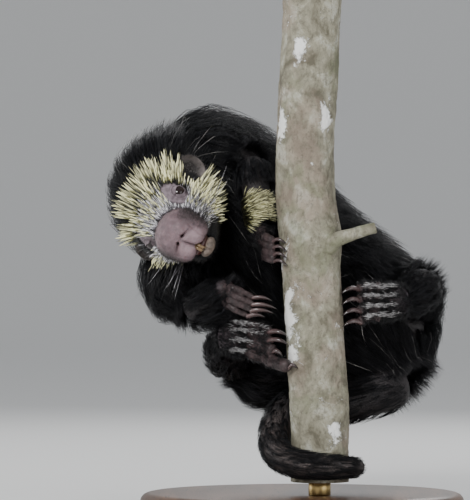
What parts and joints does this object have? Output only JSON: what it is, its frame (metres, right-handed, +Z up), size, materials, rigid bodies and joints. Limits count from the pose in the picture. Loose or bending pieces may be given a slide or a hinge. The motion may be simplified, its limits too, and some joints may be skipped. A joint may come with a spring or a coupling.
{
  "type": "hairy dwarf porcupine on a trunk perch",
  "caption": "Still, life-size dwarf porcupine with a quilled face and long dark coat, clinging behind a short cut length of trunk on a plain round stand.",
  "frame": {"origin": "on the underside of the stand's base, under the foot of the trunk perch", "axes": "+Z up along the trunk perch; +Y away from the viewer of the pose, from the trunk to the animal's back; +X to that viewer's right, so the face is on the -X side"},
  "size_m": [0.2635, 0.2385, 0.38],
  "materials": {
    "fur": "long, near-black soft hair with a blue-grey sheen and sparse pale hairs",
    "quilled_face": "stiff cream-yellow quills with dark bases over short dark fur",
    "nose_skin": "soft, bare, dusty pink skin with fine wrinkles",
    "ear_skin": "thin bare brown skin",
    "paw_skin": "bare, creased brown-pink skin with dark claws",
    "eye": "wet dark brown eye",
    "tooth": "smooth orange-yellow enamel",
    "bark": "mottled pale grey-beige bark with lichen",
    "stand_wood": "dark stained wood, satin",
    "stand_metal": "satin brass rod"
  },
  "bodies": {
    "root": {"torso": "fur", "neck": "fur", "upper_arm_right": "fur", "upper_arm_left": "fur", "forearm_right": "fur", "forearm_left": "fur", "thigh_right": "fur", "thigh_left": "fur", "shank_right": "fur", "shank_left": "fur", "tail_base": "fur", "tail_middle": "fur", "tail_grip": "fur", "tail_end": "fur", "head": "quilled_face", "nose": "nose_skin", "ear_left": "ear_skin", "ear_right": "ear_skin", "eye_left": "eye", "eye_right": "eye", "teeth_upper": "tooth", "teeth_lower": "tooth", "hand_right": "paw_skin", "hand_left": "paw_skin", "foot_right": "paw_skin", "foot_left": "paw_skin", "perch_trunk": "bark", "perch_twig": "bark", "stand_base": "stand_wood", "stand_rod": "stand_metal"}
  },
  "joints": []
}
